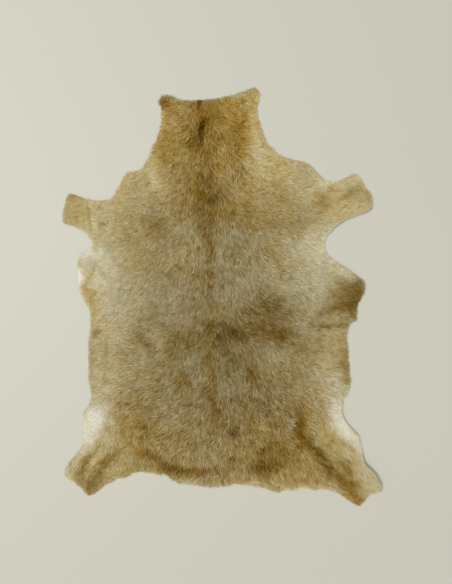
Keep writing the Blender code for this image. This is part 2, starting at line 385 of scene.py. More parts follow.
# Markings over those colours, and the painted shade in the crease of the pleat in the right flank. Columns:
# name, x and y in mm, length and width in mm, how far its length is turned from X in degrees, change of tone,
# change of warmth.
MARKS = (
    ("nape stripe", -15, 598, 46, 9, 88, -0.52, 0.1),
    ("neck stripe, upper", -8, 528, 42, 15, 82, -0.45, 0.1),
    ("neck stripe, lower", -10, 492, 40, 12, 64, -0.44, 0.1),
    ("red nape right", 26, 548, 50, 34, 0, -0.07, 0.2),
    ("neck shade", -6, 506, 150, 90, 85, -0.03, 0.0),
    ("pale crest left", -64, 386, 60, 44, 0, 0.07, 0.0),
    ("pale neck left", -66, 566, 50, 36, 60, 0.05, 0.0),
    ("pale neck right", 44, 536, 50, 36, 60, 0.05, 0.0),
    ("brown neck right", 88, 502, 70, 34, 80, -0.05, 0.0),
    ("brown neck left", -34, 486, 80, 50, 80, -0.08, 0.1),
    ("cut neck edge, left", -75, 610, 110, 26, -8, 0.08, -0.7),
    ("cut neck edge, middle", 25, 606, 130, 26, 2, 0.14, -0.7),
    ("cut neck edge, right", 95, 606, 120, 26, 12, 0.06, -0.5),
    ("neck tuft, left", -124, 606, 60, 36, 0, -0.14, 0.2),
    ("brown corner, left", -106, 590, 60, 40, 0, -0.12, 0.1),
    ("neck tuft, right", 146, 615, 26, 22, 0, -0.10, 0.0),
    ("pale corner, right", 146, 600, 50, 36, 30, 0.09, -0.2),
    ("pale throat right", 136, 470, 160, 40, -80, 0.11, -0.2),
    ("crest stripe", 6, 396, 120, 34, 86, -0.08, -0.4),
    ("withers patch", -8, 300, 190, 90, 90, -0.12, -0.1),
    ("dark withers", 26, 326, 50, 30, 60, -0.08, -0.2),
    ("withers patch, right", 78, 292, 100, 60, -10, -0.09, 0.1),
    ("brown back, right front", 118, 248, 110, 60, 0, -0.07, 0.1),
    ("pale shoulder slope left", -128, 372, 110, 56, -60, 0.13, 0.2),
    ("brown blade left", -152, 268, 90, 60, 70, -0.06, 0.0),
    ("brown blade left, inner", -96, 262, 80, 50, 60, -0.04, 0.0),
    ("rib streak left", -235, 193, 44, 16, 90, -0.07, 0.0),
    ("back spot left, front", -82, 192, 50, 22, 40, -0.09, 0.1),
    ("brown rib left, inner", -104, 104, 60, 46, 0, -0.05, 0.0),
    ("shoulder streak left", -152, 226, 44, 24, 60, -0.04, 0.0),
    ("withers stripe", 2, 200, 120, 30, 88, -0.10, 0.2),
    ("brown back, front", -8, 82, 170, 60, 0, -0.06, 0.1),
    ("spine stripe, front", 2, 130, 120, 22, 88, -0.09, 0.1),
    ("spine stripe, back", 4, 40, 130, 26, 90, -0.08, 0.1),
    ("brown back left, spine", -44, 10, 110, 60, 90, -0.07, 0.0),
    ("brown loin left, spine", -44, -100, 90, 50, 80, -0.07, 0.0),
    ("saddle", 150, -40, 230, 130, 0, -0.13, 0.1),
    ("saddle, spine", 22, -52, 96, 30, -10, -0.12, 0.1),
    ("saddle, right", 118, -72, 150, 50, -12, -0.05, 0.0),
    ("saddle, lower right", 214, -98, 100, 56, -10, -0.10, 0.0),
    ("saddle, upper right", 158, 0, 110, 60, 10, -0.07, 0.0),
    ("saddle, end", 205, -22, 90, 80, -30, -0.06, -0.3),
    ("pale saddle end", 252, -62, 70, 60, 0, 0.07, -0.2),
    ("saddle, dark streak", 82, -86, 64, 24, -35, -0.07, 0.0),
    ("brown back right", 34, -8, 60, 30, -30, -0.06, 0.0),
    ("grey saddle spot", 44, -90, 60, 44, 0, -0.09, -0.1),
    ("dark streak, spine", 22, -108, 60, 26, 80, -0.10, -0.1),
    ("orange spine, saddle", -4, -80, 70, 26, 90, -0.08, 0.3),
    ("olive back right", 52, -22, 60, 30, 0, 0.03, 0.2),
    ("spine stripe, loin", 0, -190, 150, 30, 90, -0.07, 0.2),
    ("spine stripe, croup", 6, -310, 140, 24, 90, -0.09, 0.3),
    ("loin spot left", -85, -238, 60, 36, 70, -0.12, 0.3),
    ("brown streak, croup", -64, -300, 56, 24, 10, -0.11, 0.1),
    ("back streak left", -105, -120, 120, 26, 60, -0.08, 0.2),
    ("brown side left", -145, -52, 110, 30, -14, -0.09, 0.0),
    ("side band left", -188, -120, 130, 32, -58, -0.10, 0.0),
    ("ribs left, shade", -180, 128, 130, 60, -30, -0.04, 0.0),
    ("brown back left, front", -128, 208, 100, 40, 70, -0.07, 0.0),
    ("pale side left", -200, -165, 70, 44, 0, 0.06, -0.2),
    ("pale loin left", -30, -226, 40, 40, 0, 0.07, 0.0),
    ("pale croup left", -98, -236, 50, 50, 0, 0.07, 0.0),
    ("pale side left, inner", -140, -140, 60, 60, 0, 0.06, 0.0),
    ("grey loin left", -55, -175, 70, 50, 90, 0.05, -0.3),
    ("grey loin right", 62, -165, 90, 50, 80, -0.01, -0.2),
    ("pale loin right", 178, -142, 120, 56, -20, 0.04, -0.3),
    ("brown spot, loin right", 110, -206, 50, 36, 70, -0.09, 0.2),
    ("dark streak, loin right", 57, -148, 66, 26, -68, -0.07, -0.1),
    ("grey croup right", 55, -245, 110, 60, 80, 0.03, -0.3),
    ("brown croup left", -240, -370, 150, 90, 60, -0.12, 0.2),
    ("brown croup left, rear", -180, -395, 90, 50, -20, -0.05, 0.1),
    ("brown thigh left", -236, -446, 80, 50, -30, -0.08, 0.1),
    ("brown hip right", 248, -350, 130, 36, -88, -0.18, 0.3),
    ("grey hip right", 222, -352, 50, 30, 80, 0.05, -0.7),
    ("pale thigh right", 328, -372, 80, 60, 60, 0.06, 0.0),
    ("brown spot, hip", 187, -353, 38, 28, 0, -0.14, 0.3),
    ("dark spot, rump", 60, -381, 34, 26, 45, -0.24, -0.5),
    ("brown rump, middle", 60, -472, 50, 44, 0, -0.07, 0.1),
    ("rump spots", 146, -432, 34, 24, 10, -0.22, 0.2),
    ("brown rump spot, low", 150, -474, 60, 40, 10, -0.08, 0.1),
    ("brown rump right", 204, -432, 110, 70, 0, -0.10, 0.1),
    ("golden tail rim, left", -80, -552, 170, 34, -10, 0.08, 0.0),
    ("golden tail rim, right", 190, -548, 290, 32, -2, 0.11, 0.0),
    ("pale tail right", 190, -508, 60, 34, 0, 0.05, 0.1),
    ("tail band right", 146, -486, 120, 42, 5, -0.15, 0.0),
    ("tail band left", -152, -488, 150, 30, -24, -0.20, 0.1),
    ("brown tail rim left", -130, -528, 60, 36, -20, -0.12, 0.0),
    ("pale tail left", -268, -462, 80, 44, 20, 0.04, 0.0),
    ("tail band, middle", -40, -506, 140, 28, -4, -0.14, 0.2),
    ("hock stripe left, inner", -324, -482, 100, 32, 48, -0.20, 0.0),
    ("hock stripe left, toe", -372, -552, 120, 44, 60, -0.15, 0.0),
    ("pale shin left, middle", -372, -486, 60, 24, 60, 0.10, 0.0),
    ("hock stripe left, outer", -388, -478, 100, 26, 55, -0.18, 0.2),
    ("hock stripe left, outer toe", -422, -534, 90, 24, 66, -0.11, 0.1),
    ("brown toe left", -396, -572, 60, 50, -30, -0.09, 0.0),
    ("hock rim left", -452, -518, 100, 34, 62, 0.09, -0.2),
    ("hock stripe right", 292, -424, 130, 36, -54, -0.22, 0.0),
    ("pale hock right", 372, -438, 80, 34, -60, 0.08, 0.0),
    ("hock stripe right, toe", 352, -502, 124, 36, -48, -0.19, 0.0),
    ("golden toe right", 405, -566, 130, 56, -55, -0.15, 0.4),
    ("brown toe edge right", 444, -586, 60, 40, 40, -0.14, 0.1),
    ("brown toe right", 396, -566, 70, 50, -40, -0.05, 0.0),
    ("hock patch right", 384, -474, 70, 36, -55, -0.18, 0.1),
    ("hock branch right", 412, -526, 60, 28, -35, -0.15, 0.1),
    ("white thigh left", -376, -364, 130, 66, 75, 0.22, -0.8),
    ("white groin left", -352, -326, 70, 40, 10, 0.12, -0.4),
    ("brown groin rim left", -388, -296, 50, 30, -70, -0.15, 0.0),
    ("white shin left", -405, -440, 100, 50, 60, 0.12, -0.2),
    ("pale streak, thigh left", -306, -388, 64, 12, 88, 0.04, 0.0),
    ("white thigh right", 376, -356, 130, 46, -52, 0.28, -0.7),
    ("white shin right", 430, -430, 110, 28, -60, 0.12, -0.5),
    ("golden thigh right", 335, -388, 90, 44, -52, -0.06, 0.3),
    ("white groin right", 352, -300, 70, 36, -60, 0.14, -0.5),
    ("white elbow left", -402, 82, 60, 36, 75, 0.16, -0.8),
    ("white armpit left", -352, 153, 90, 32, 12, 0.15, -0.4),
    ("brown rim, elbow left", -385, 128, 72, 46, 20, -0.09, 0.0),
    ("golden girth left", -365, 20, 100, 46, -65, -0.08, 0.3),
    ("golden girth left, front", -372, 44, 56, 36, -20, -0.07, 0.3),
    ("golden fold left", -362, 88, 96, 15, 57, -0.13, 0.3),
    ("golden curl left", -320, 100, 50, 14, -45, -0.12, 0.3),
    ("brown belly left", -350, -86, 40, 26, 0, -0.13, 0.2),
    ("pale belly left", -352, -150, 60, 44, 80, 0.04, 0.0),
    ("belly arc left", -316, -134, 100, 11, 80, -0.08, 0.1),
    ("brown flank left", -272, -300, 110, 60, 60, -0.07, 0.1),
    ("brown flank right", 338, -318, 80, 40, -60, -0.06, 0.0),
    ("brown flank edge left", -374, -180, 150, 44, 88, -0.06, -0.1),
    ("brown belly edge right", 392, -186, 130, 44, 90, -0.16, -0.1),
    ("brown belly spot right", 352, -202, 60, 40, 60, -0.10, 0.1),
    ("flank line right", 312, -126, 60, 11, 99, -0.13, 0.2),
    ("pale flank right", 362, -242, 110, 60, -50, 0.14, -0.3),
    ("golden belly right", 362, -130, 60, 40, 90, 0.00, 0.3),
    ("girth stripe left", -370, -30, 110, 40, 80, -0.04, 0.4),
    ("grey brisket right", 390, 72, 56, 24, -35, 0.10, -1.0),
    ("brown elbow right", 424, 30, 96, 56, -60, -0.15, -0.4),
    ("brown elbow right, front", 370, 62, 70, 40, -30, -0.05, -0.2),
    ("brown girth edge right", 410, -24, 60, 50, 0, -0.16, -0.1),
    ("brown elbow right, inner", 376, 16, 80, 56, 0, -0.11, 0.0),
    ("brown girth right", 344, -27, 130, 34, 20, -0.14, 0.1),
    ("olive girth right", 366, -46, 60, 30, 0, 0.03, 0.0),
    # painted shade: a dark line in the crease of the pleat in the right flank, and a smudge at its left end
    ("painted pleat shade right", 358, -70, 92, 9, -1, -0.32, 0.2),
    ("painted pleat end shade right", 322, -72, 34, 18, 0, -0.09, 0.1),
    ("pale side right", 290, 60, 200, 70, 70, 0.02, -0.2),
    ("brown ribs right", 190, 130, 120, 40, -60, -0.06, 0.2),
    ("brown ribs right, inner", 176, 44, 60, 40, -40, -0.06, 0.0),
    ("brown shoulder left", -165, 238, 120, 44, -8, -0.06, 0.0),
    ("pale shoulder left, rear", -225, 242, 90, 30, 0, 0.02, 0.0),
    ("brown shoulder right", 240, 226, 230, 44, 0, -0.06, 0.0),
    ("brown foreleg root right", 315, 294, 60, 36, -70, -0.08, 0.0),
    ("foreleg band right", 402, 304, 80, 18, 27, -0.13, 0.0),
    ("foreleg spot right, rear", 332, 272, 40, 50, 0, -0.05, 0.0),
    ("foreleg spot right, front", 355, 314, 32, 18, 0, -0.07, 0.0),
    ("foreleg end right", 452, 286, 64, 22, -68, -0.11, 0.0),
    ("brown foreleg right", 420, 292, 50, 40, 0, -0.07, 0.0),
    ("pale foreleg root right", 345, 338, 80, 40, 10, 0.09, 0.0),
    ("foreleg bar left", -357, 262, 110, 10, 98, -0.14, 0.1),
    ("pale strip, foreleg left", -343, 250, 54, 14, 95, 0.06, 0.0),
    ("foreleg spot left", -322, 247, 45, 26, 95, -0.11, 0.1),
    ("foreleg spot left, front", -322, 298, 22, 18, 0, -0.08, 0.0),
    ("foreleg toe left", -421, 342, 44, 30, 0, -0.07, 0.0),
    ("foreleg end left", -442, 320, 70, 26, 80, -0.06, 0.0),
    ("brown foreleg root left", -378, 278, 60, 40, 0, -0.05, 0.0),
)
PLACE_SPREAD = 55 * MM
PLACE_FALL = 2.5  # how fast a place's colours give way to those of the next
MARK_FALL = 1.2  # how sharp the edge of a mark is
MARK_DRIFT = 12 * MM
MARK_FULL_DRIFT = 60  # the width in mm from which a mark's outline drifts by all of that
DRIFT_BROAD, DRIFT_SMALL = 26 * MM, 11 * MM
DRIFT_SMALL_SHARE = 0.5
SPARE_KNOTS = 3  # beyond the whole steps across the grid, so that its far edge is covered
dice = np.random.default_rng(seed=7)


def swells(size):
    """Even random swells of a given length, as a function of places that gives -1 to 1."""
    columns = int((grid_x[-1] - grid_x[0]) / size) + SPARE_KNOTS
    rows = int((grid_y[-1] - grid_y[0]) / size) + SPARE_KNOTS
    knots = dice.uniform(-1, 1, (rows, columns))

    def at_places(x, y):
        across, up = (x - grid_x[0]) / size, (y - grid_y[0]) / size
        column = np.clip(np.floor(across).astype(int), 0, columns - 2)
        row = np.clip(np.floor(up).astype(int), 0, rows - 2)
        across, up = across - column, up - row
        across, up = across * across * (3 - 2 * across), up * up * (3 - 2 * up)
        near = knots[row, column] * (1 - across) + knots[row, column + 1] * across
        far = knots[row + 1, column] * (1 - across) + knots[row + 1, column + 1] * across
        return near * (1 - up) + far * up

    return at_places


broad_east, broad_north = swells(DRIFT_BROAD), swells(DRIFT_BROAD)
small_east, small_north = swells(DRIFT_SMALL), swells(DRIFT_SMALL)


def coat_tone(x, y):
    """The tone and the warmth of the coat at each place, with the outlines of the marks drawn unevenly."""
    total = tone = warmth = 0.0
    for _, px, py, place_tone, place_warmth in COAT:
        away = (x - px * MM) ** 2 + (y - py * MM) ** 2
        weight = 1 / (away + PLACE_SPREAD**2) ** PLACE_FALL
        total = total + weight
        tone = tone + weight * place_tone
        warmth = warmth + weight * place_warmth
    tone, warmth = tone / total, warmth / total
    east = MARK_DRIFT * (broad_east(x, y) + DRIFT_SMALL_SHARE * small_east(x, y)) / MM
    north = MARK_DRIFT * (broad_north(x, y) + DRIFT_SMALL_SHARE * small_north(x, y)) / MM
    for _, px, py, length, width, turned, darker, warmer in MARKS:
        share = min(1, width / MARK_FULL_DRIFT)
        dx, dy = x / MM + share * east - px, y / MM + share * north - py
        cos, sin = math.cos(math.radians(turned)), math.sin(math.radians(turned))
        away = ((dx * cos + dy * sin) / (length / 2)) ** 2 + ((dy * cos - dx * sin) / (width / 2)) ** 2
        weight = np.exp(-(away**MARK_FALL))
        tone = tone + weight * darker
        warmth = warmth + weight * warmer
    return tone, warmth


def down_material():
    """Goat down: very fine matted hair, felt-like and dull, with next to no gloss."""
    material, tree, shader = new_material("goat down")
    tone = add_node(tree, "ShaderNodeAttribute", {"attribute_name": "tone"})
    place = add_node(tree, "ShaderNodeTexCoord").outputs["Object"]
    tuft = add_node(tree, "ShaderNodeTexNoise", Vector=place, Scale=1 / DOWN_TUFT, Detail=4.0)
    shift = {"operation": "MULTIPLY_ADD"}
    uneven = add_node(
        tree, "ShaderNodeMath", shift, n0=tuft.outputs["Fac"], n1=DOWN_UNEVEN, n2=-DOWN_UNEVEN / 2
    )
    mixed = add_node(
        tree, "ShaderNodeMath", {"operation": "ADD"}, n0=tone.outputs["Fac"], n1=uneven.outputs[0]
    )
    ramp = add_node(tree, "ShaderNodeValToRGB", Fac=mixed.outputs[0])
    set_ramp(ramp, DOWN_TONES)
    bump = add_node(
        tree, "ShaderNodeBump", Height=tuft.outputs["Fac"], Strength=0.8, Distance=DOWN_TUFT_DEPTH
    )
    tree.links.new(ramp.outputs["Color"], shader.inputs["Base Color"])
    tree.links.new(bump.outputs["Normal"], shader.inputs["Normal"])
    shader.inputs["Roughness"].default_value = 1.0
    shader.inputs["IOR"].default_value = 1.45
    shader.inputs["Specular IOR Level"].default_value = 0.1
    return material


def down_underside(x, y):
    return skin_top(x, y) - SKIN_THICK / 2


def down_top(x, y):
    full = read_field(thick_field, x, y) * DOWN_SHARE
    inward = np.clip(read_field(depth_field, x, y) / DOWN_RIM_BAND, 0, 1)
    stands = full * (DOWN_AT_RIM + (1 - DOWN_AT_RIM) * inward)
    return read_field(under_field, x, y) + np.maximum(stands, SKIN_THICK * DOWN_LEAST)


def at_rim(x, y, band):
    """1 at the rim and beyond it, and 0 from a band's width in from it."""
    return np.clip(1 - read_field(depth_field, x, y) / band, 0, 1)


mat_plan = plan.copy()
for v in mat_plan.verts:
    if v.is_boundary:
        inward = sum((f.calc_center_median() - v.co for f in v.link_faces), Vector())
        inward.z = 0
        v.co += inward.normalized() * DOWN_INSET
down_body = sheet_body(mat_plan, down_underside, down_top)
lay_on_map(down_body)
down = new_sheet("down", down_body, down_material())
places = np.zeros(len(down.data.vertices) * 3)
down.data.vertices.foreach_get("co", places)
down_x, down_y = places[0::3], places[1::3]
paler = DOWN_RIM_PALER * at_rim(down_x, down_y, DOWN_PALE_BAND)
tones = down.data.attributes.new("tone", "FLOAT", "POINT")
# the down takes the coat's tone, darkened by painted shade of the gaps between locks and paler at the rim
tones.data.foreach_set("value", coat_tone(down_x, down_y)[0] - DOWN_PAINTED_SHADE + paler)


# The guard hair
# Straight, fairly coarse hair about 12 to 26 mm long that grows out of the skin and lies over tailwards and
# outwards. It hangs together in narrow locks, each a thin flat blade that is pointed at both ends. The locks
# lie in tufts that lean together, and they shorten towards the rim and down the legs.

# How the hair lies. Columns: place, x and y in mm, the way the hair points in degrees from X, its full
# length in mm.
LIE = (
    ("nape", 0, 590, -90, 20),
    ("neck left", -80, 560, 185, 26),
    ("neck right", 80, 550, -25, 26),
    ("neck left edge", -125, 520, 200, 20),
    ("neck right edge", 140, 520, -20, 20),
    ("crest", 0, 500, -90, 28),
    ("crest left", -70, 400, 230, 27),
    ("crest right", 60, 400, -60, 27),
    ("withers", 0, 300, -90, 25),
    ("shoulder slope left", -170, 420, 185, 21),
    ("shoulder slope right", 170, 440, -5, 21),
    ("shoulder left", -250, 280, 185, 20),
    ("shoulder right", 250, 280, -6, 20),
    ("shoulder blade left", -150, 260, 195, 23),
    ("shoulder blade right", 150, 280, -10, 23),
    ("foreleg left", -400, 290, 185, 14),
    ("foreleg right", 410, 300, 12, 15),
    ("back left, front", -100, 150, 225, 24),
    ("back left, spine", -50, 100, 260, 25),
    ("back right, front", 75, 150, -75, 25),
    ("ribs right, upper", 150, 130, -48, 25),
    ("ribs right", 250, 120, -30, 23),
    ("ribs left", -250, 130, 195, 21),
    ("elbow left", -370, 110, 185, 17),
    ("elbow right", 400, 40, -10, 17),
    ("spine, front", 0, 150, -90, 25),
    ("spine, middle", 0, 0, -90, 25),
    ("side left", -250, 50, 218, 23),
    ("back left", -150, 50, 235, 24),
    ("loin left", -150, -80, 205, 24),
    ("side left, rear", -250, -150, 185, 24),
    ("loin left, inner", -50, -120, 235, 25),
    ("belly left", -360, -150, 190, 20),
    ("back right", 150, -80, -32, 24),
    ("side right", 250, -160, -38, 24),
    ("loin right, inner", 75, -170, -70, 24),
    ("belly right", 350, -150, -5, 20),
    ("spine, loin", 0, -150, -90, 25),
    ("croup left", -50, -300, 240, 27),
    ("rump left", -100, -350, 213, 29),
    ("hip left", -250, -290, 200, 27),
    ("thigh left", -300, -400, 255, 26),
    ("thigh left, outer", -380, -380, 240, 17),
    ("hind leg left", -390, -520, 225, 21),
    ("spine, croup", 0, -350, -90, 28),
    ("rump right", 150, -350, -57, 29),
    ("croup right", 250, -250, -38, 27),
    ("rump right, inner", 50, -380, -95, 29),
    ("hip right", 330, -300, -30, 26),
    ("thigh right, outer", 385, -360, -58, 17),
    ("thigh right", 350, -450, -50, 23),
    ("hind leg right", 440, -540, -48, 18),
    ("tail edge left", -150, -520, 255, 28),
    ("tail", 0, -550, -90, 28),
    ("tail edge right", 150, -540, -85, 28),
    ("tail edge, outer right", 250, -540, -80, 24),
)
LIE_SPREAD = 30 * MM
LOCK_APART = 1.5 * MM
LOCK_WIDTH = 1.4 * MM
RIM_LOCK_APART = 1.55 * MM
RIM_BAND = 13 * MM  # how far in from the rim the hair is finer and closer
RIM_LOCK_SHARE = 0.5  # the width of a lock at the rim, as a share of the others
FRINGE_BAND = 7 * MM
TUFT_APART = 6.5 * MM
STREWN = 0.42  # how far a lock may be off its grid, as a share of the grid's step
RIM_CLEAR = 0.5 * MM  # how far in from the rim the first hair is rooted
STRAND_REACH = 4 * MM
STRAND_STEPS = 9


def strands(x, y, size):
    """Random swells drawn out along the hair, which keep the locks of one strand alike."""
    at_places = swells(size)
    runs = np.linspace(-STRAND_REACH, STRAND_REACH, STRAND_STEPS)
    total = sum(at_places(x + run * np.cos(way), y + run * np.sin(way)) for run in runs)
    return total / np.std(total)


def strewn(apart, deepest=1.0):
    """Places all over the skin, or in a band along its rim, on a loose triangular grid."""
    row_height = apart * math.sqrt(3) / 2
    rows = np.arange(low[1], high[1], row_height)
    columns = np.arange(low[0], high[0], apart)
    x, y = np.meshgrid(columns, rows)
    x = x + apart / 2 * (np.arange(len(rows)) % 2)[:, None]
    x, y = x.ravel(), y.ravel()
    x = x + dice.uniform(-STREWN, STREWN, x.size) * apart
    y = y + dice.uniform(-STREWN, STREWN, y.size) * row_height
    depth = read_field(depth_field, x, y)
    inside = (depth > RIM_CLEAR) & (depth < deepest)
    return x[inside], y[inside]


def hair_lie(x, y):
    """The direction in radians and the length of the hair at each place."""
    total = east = north = length = 0.0
    for _, px, py, way, long in LIE:
        away = (x - px * MM) ** 2 + (y - py * MM) ** 2
        weight = 1 / (away + LIE_SPREAD**2) ** 2
        total = total + weight
        east = east + weight * math.cos(math.radians(way))
        north = north + weight * math.sin(math.radians(way))
        length = length + weight * long * MM
    return np.arctan2(north, east), length / total


def outward(x, y):
    """The direction in radians straight out to the rim from each place."""
    step = 2 * CELL
    east = read_field(depth_field, x - step, y) - read_field(depth_field, x + step, y)
    north = read_field(depth_field, x, y - step) - read_field(depth_field, x, y + step)
    return np.arctan2(north, east)


# The share of its full thickness that the coat has at the rim, the least share beyond it, and the width in
# which that share changes by 1.
SUNK_AT_RIM, SUNK_LEAST, SUNK_BAND = 0.55, 0.15, 24 * MM


def coat_heights(x, y):
    """The skin's height and the coat's thickness at each place. Past the rim the hair sinks to the floor."""
    depth = read_field(depth_field, x, y)
    thick = read_field(thick_field, x, y)
    sunk = np.clip(SUNK_AT_RIM + depth / SUNK_BAND, SUNK_LEAST, 1)
    return read_field(under_field, x, y), thick * sunk


x, y = strewn(LOCK_APART)
rim_x, rim_y = strewn(RIM_LOCK_APART, RIM_BAND)
x, y = np.concatenate([x, rim_x]), np.concatenate([y, rim_y])
count = x.size
tuft_x, tuft_y = strewn(TUFT_APART)
tufts = KDTree(tuft_x.size)
for i, place in enumerate(zip(tuft_x, tuft_y)):
    tufts.insert((*place, 0), i)
tufts.balance()
tuft = np.array([tufts.find((px, py, 0))[1] for px, py in zip(x, y)])


def per_tuft(spread):
    return dice.normal(0, spread, tuft_x.size)[tuft]


def per_lock(spread):
    return dice.normal(0, spread, count)


def varied(spread, least, most):
    """A random factor round 1 for each lock, between two limits."""
    return np.clip(1 + per_lock(spread), least, most)


def swelling(layers):
    """The sum of some swells, each given as its strength and its size."""
    return sum(strength * swells(size)(x, y) for strength, size in layers)


# Thick long coat is rougher than the short sleek hair of the legs, by a measure that is 1 at full length.
FULL_LENGTH = 25 * MM
ROUGH_RISE = 1.4
SWIRLS = ((14, 42 * MM), (18, 20 * MM), (26, 9 * MM))  # how far each turns the hair in degrees, and its size
SWIRL_LIMITS = 0.4, 1.2  # the share of them on the legs, and on the thickest coat
STREAK_SIZE, RIDGE_SIZE = 2.2 * MM, 2.6 * MM  # the width of strands that differ in shade, and in height
WAY_SPREAD = 11  # degrees between tufts, and between the locks of a tuft
lie, length = hair_lie(x, y)
rough = (length / FULL_LENGTH) ** ROUGH_RISE
swirl = swelling(SWIRLS)
way = lie + np.radians(swirl * np.clip(rough, *SWIRL_LIMITS))
streak = strands(x, y, STREAK_SIZE)
ridge = strands(x, y, RIDGE_SIZE)
way += np.radians(per_tuft(WAY_SPREAD) + per_lock(WAY_SPREAD))

# At the very rim some of the hair turns outwards, so the cut edge has a soft fringe all round.
MOST_TURNED = 1.5
turned_out = dice.uniform(0, MOST_TURNED, count) * at_rim(x, y, FRINGE_BAND)
to_rim = outward(x, y)
east = (1 - turned_out) * np.cos(way) + turned_out * np.cos(to_rim)
north = (1 - turned_out) * np.sin(way) + turned_out * np.sin(to_rim)
way = np.arctan2(north, east)

# Past the cut edge the hair stands out about as far as the solid's locks do there, and less far where it
# lies along the rim.
SHOWN_LENGTH = 0.88  # the share of a hair's full length that is not hidden in the down
LEAST_REACH = 4 * MM
REACH_ALONG, REACH_OUTWARDS = 0.4, 0.5
REACH_FROM_INSIDE = 1.1
length *= SHOWN_LENGTH * varied(spread=0.15, least=0.6, most=1.4)
depth = read_field(depth_field, x, y)
fringe = KDTree(len(tip_places))
for i, place in enumerate(tip_places):
    fringe.insert(place, i)
fringe.balance()
stand_out = np.array([rim_tree.find(place)[2] for place in tip_places])
reach = stand_out[[fringe.find((px, py, 0))[1] for px, py in zip(x, y)]]
reach = np.maximum(reach, LEAST_REACH) * varied(spread=0.5, least=0.15, most=1.9)
reach *= REACH_ALONG + REACH_OUTWARDS * np.clip(np.cos(lie - to_rim), 0, 1)
length = np.minimum(length, reach + depth * REACH_FROM_INSIDE)

# Every lock bends sideways, leans in to the middle of its tuft and stands at its own height.
BEND_OF_TUFTS, BEND_OF_LOCKS = 22, 24  # degrees
LEAN_IN = 0.22
SHADE_SPREAD = 0.055
DARK_HAIRS_AND_GAP_SHADE = 0.045  # a few much darker locks: dark guard hairs and painted shade of gaps
HEIGHT_OF_RIDGES, HEIGHT_OF_TUFTS, HEIGHT_OF_LOCKS = 0.06, 0.02, 0.08
bend = np.radians(per_tuft(BEND_OF_TUFTS) + per_lock(BEND_OF_LOCKS))
lean_in = LEAN_IN * varied(spread=0.3, least=0, most=2)
# painted shade: a few locks are darkened for the shaded gaps between locks, as well as dark guard hairs
shade = per_lock(SHADE_SPREAD) + DARK_HAIRS_AND_GAP_SHADE * (1 - dice.exponential(1, count))
height = 1 + rough * (HEIGHT_OF_RIDGES * ridge + per_tuft(HEIGHT_OF_TUFTS) + per_lock(HEIGHT_OF_LOCKS))

# The colour of each lock: that of its place, with markings that fray at their edges, soft blotches, darker
# and lighter strands, a few much darker locks that are partly painted shade of gaps, and a paler and greyer
# rim.
FRAY = 3 * MM
TONE_LIFT = 0.032  # makes up for the shade that locks cast on each other
TONE_BLOTCHES = ((0.014, 30 * MM), (0.01, 12 * MM))
TONE_OF_STRANDS, TONE_OF_TUFTS = 0.045, 0.01
TONE_LIMITS = 0.02, 0.97
RIM_PALER, RIM_PALE_BAND = 0.05, 10 * MM
WARMTH_BLOTCHES = ((0.11, 24 * MM), (0.05, 11 * MM))
WARMTH_OF_STRANDS, WARMTH_OF_LOCKS = 0.06, 0.07
RIM_GREYER, RIM_GREY_BAND = 0.25, 8 * MM
tone, warmth = coat_tone(x + per_lock(FRAY), y + per_lock(FRAY))
tone = tone + rough * (swelling(TONE_BLOTCHES) + TONE_OF_STRANDS * streak)
tone = tone + RIM_PALER * at_rim(x, y, RIM_PALE_BAND)
tone = np.clip(tone + TONE_LIFT + rough * (per_tuft(TONE_OF_TUFTS) + shade), *TONE_LIMITS)
for strength, size in WARMTH_BLOTCHES:
    warmth = warmth + strength * swells(size)(x, y)
warmth = warmth - WARMTH_OF_STRANDS * streak + per_lock(WARMTH_OF_LOCKS)
warmth = np.clip(warmth - RIM_GREYER * at_rim(x, y, RIM_GREY_BAND), 0, 1)

# One lock, flat and of unit size, with X across it and Y along it. Its three rows of points are its root,
# its widest place and its tip.
ROWS = 3
WIDEST = 0.4
NEAR_END = 0.001
lock = bmesh.new()
bmesh.ops.create_grid(lock, x_segments=1, y_segments=ROWS - 1, size=1)
for v in lock.verts:
    v.co.y = (v.co.y + 1) / 2
tip = [v for v in lock.verts if v.co.y > 1 - NEAR_END]
bmesh.ops.pointmerge(lock, verts=tip, merge_co=(0, 1, 0))
root = [v for v in lock.verts if v.co.y < NEAR_END]
bmesh.ops.pointmerge(lock, verts=root, merge_co=(0, 0, 0))
for v in lock.verts:
    if NEAR_END < v.co.y < 1 - NEAR_END:
        v.co.y = WIDEST
lock.verts.index_update()
lock_points = np.array([v.co[:] for v in lock.verts])
lock_faces = [[v.index for v in f.verts] for f in lock.faces]
lock.free()

HIGH_AT = (0.45, 0.8, 0.96)  # the height of each row, as a share of the coat's
ROOT_LEAST, HAIR_LEAST = 0.9 * MM, 1.2 * MM
LEAN_RISE = 1.5  # how the lean grows along a lock
LEAN_BAND, LEAN_LEAST = 18 * MM, 0.15  # how far in from the rim the full lean starts, and its share there
LOCK_ROLL = 0.65  # how far a lock rolls over to one side, as the slope across it
ROLL_LIMITS = 0.3, 1.2
EDGE_TONE = 0.02  # the difference in tone across a lock
BANDS = 8  # steps of warmth on the bake map
BAND_MARGIN = 0.06


def row_places(share):
    """The middle of every lock at a share of its length."""
    first = way - bend / 2
    last = way + bend / 2
    turned = first + (last - first) * share
    run = length * share
    px = x + run * np.cos((first + turned) / 2)
    py = y + run * np.sin((first + turned) / 2)
    drawn = lean_in * share**LEAN_RISE * np.clip(depth / LEAN_BAND, LEAN_LEAST, 1)
    px = px + (tuft_x[tuft] - x) * drawn * np.abs(np.sin(way))
    py = py + (tuft_y[tuft] - y) * drawn * np.abs(np.cos(way))
    return px, py, turned


